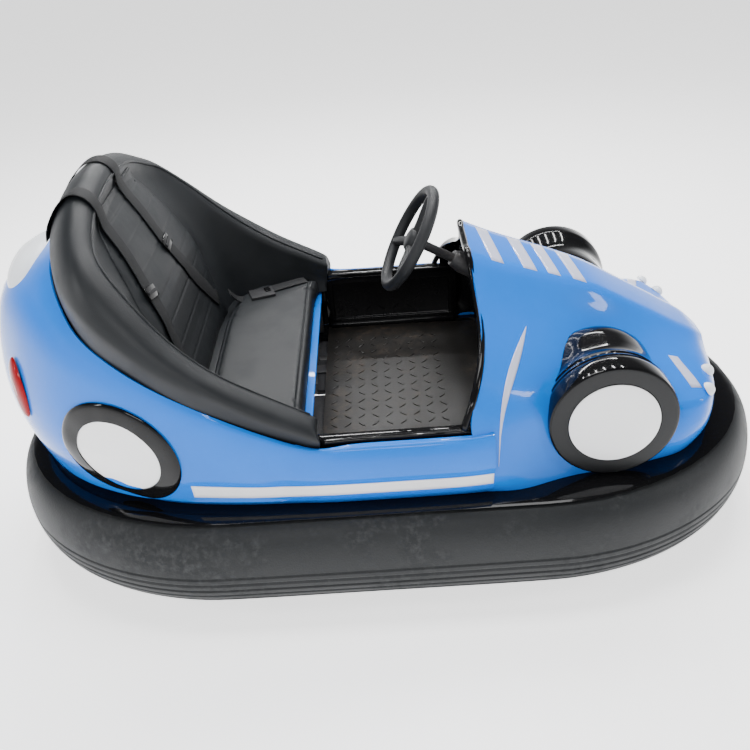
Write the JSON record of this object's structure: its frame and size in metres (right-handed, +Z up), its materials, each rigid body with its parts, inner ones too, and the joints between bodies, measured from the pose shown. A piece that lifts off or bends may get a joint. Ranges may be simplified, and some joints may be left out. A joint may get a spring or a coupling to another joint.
{
  "type": "bumper car",
  "caption": "Fairground bumper car: moulded body on a rubber-ringed chassis, padded seat, steered drive wheel that turns with the steering wheel.",
  "frame": {"origin": "on the floor under the middle of the bumper ring", "axes": "+X forward, +Y to the car's left, +Z up"},
  "size_m": [1.9488, 1.0288, 0.9933],
  "materials": {
    "body_blue": "high gloss moulded shell",
    "gloss_black": "gloss black",
    "rubber": "matte worn rubber",
    "vinyl": "matte padded vinyl",
    "disc_white": "satin white",
    "frame_black": "satin black paint",
    "floor_metal": "worn black chequer plate",
    "webbing": "woven belt webbing",
    "lamp_white": "translucent white lens",
    "lamp_red": "dark red lens",
    "battery": "plain dark case"
  },
  "bodies": {
    "chassis": {"bumper_tube": "rubber", "foot_pedal": "rubber", "bumper_rim": "gloss_black", "cockpit_wall_R": "gloss_black", "cockpit_wall_L": "gloss_black", "dash_panel": "gloss_black", "front_drum_R": "gloss_black", "front_drum_L": "gloss_black", "rear_ring_R": "gloss_black", "rear_ring_L": "gloss_black", "seat_riser_R": "gloss_black", "seat_riser_L": "gloss_black", "chassis_frame": "frame_black", "column_collar": "frame_black", "steering_post": "frame_black", "trail_fork_R": "frame_black", "trail_fork_L": "frame_black", "floor_plate": "floor_metal", "rear_shell": "body_blue", "front_shell": "body_blue", "sill_R": "body_blue", "sill_L": "body_blue", "seat_pan": "body_blue", "front_disc_R": "disc_white", "front_disc_L": "disc_white", "rear_disc_R": "disc_white", "rear_disc_L": "disc_white", "nose_lamp_R1": "lamp_white", "nose_lamp_R2": "lamp_white", "nose_lamp_L1": "lamp_white", "nose_lamp_L2": "lamp_white", "hump_lamp": "lamp_white", "tail_lamp_R": "lamp_red", "tail_lamp_L": "lamp_red", "surround_roll": "vinyl", "seat_tub": "vinyl", "seat_cushion": "vinyl", "backrest": "vinyl", "shoulder_belt_R": "webbing", "shoulder_belt_L": "webbing", "lap_belt": "webbing", "lap_buckle": "gloss_black", "battery_block": "battery"},
    "steering": {"steering_rim": "vinyl", "steering_spokes": "frame_black", "steering_shaft": "frame_black"},
    "drive_unit": {"drive_fork": "frame_black", "kingpin": "frame_black", "drive_motor": "frame_black"},
    "drive_wheel": {"drive_wheel": "rubber"},
    "trail_wheel_R": {"trail_wheel_R": "rubber"},
    "trail_wheel_L": {"trail_wheel_L": "rubber"}
  },
  "joints": [
    {"name": "kingpin_turn", "type": "hinge", "parent": "chassis", "child": "drive_unit", "pos_m": [0.45, 0, 0.25], "axis": [0, 0, 1], "continuous": true},
    {"name": "steering_turn", "type": "hinge", "parent": "chassis", "child": "steering", "pos_m": [0.1, 0, 0.756], "axis": [0.866, 0, -0.5], "continuous": true},
    {"name": "drive_wheel_spin", "type": "hinge", "parent": "drive_unit", "child": "drive_wheel", "pos_m": [0.45, 0, 0.1], "axis": [0, 1, 0], "continuous": true},
    {"name": "trail_wheel_R_spin", "type": "hinge", "parent": "chassis", "child": "trail_wheel_R", "pos_m": [-0.56, -0.23, 0.075], "axis": [0, 1, 0], "continuous": true},
    {"name": "trail_wheel_L_spin", "type": "hinge", "parent": "chassis", "child": "trail_wheel_L", "pos_m": [-0.56, 0.23, 0.075], "axis": [0, 1, 0], "continuous": true}
  ],
  "couplings": [
    {"joint": "steering_turn", "follows": "kingpin_turn", "ratio": -1}
  ]
}
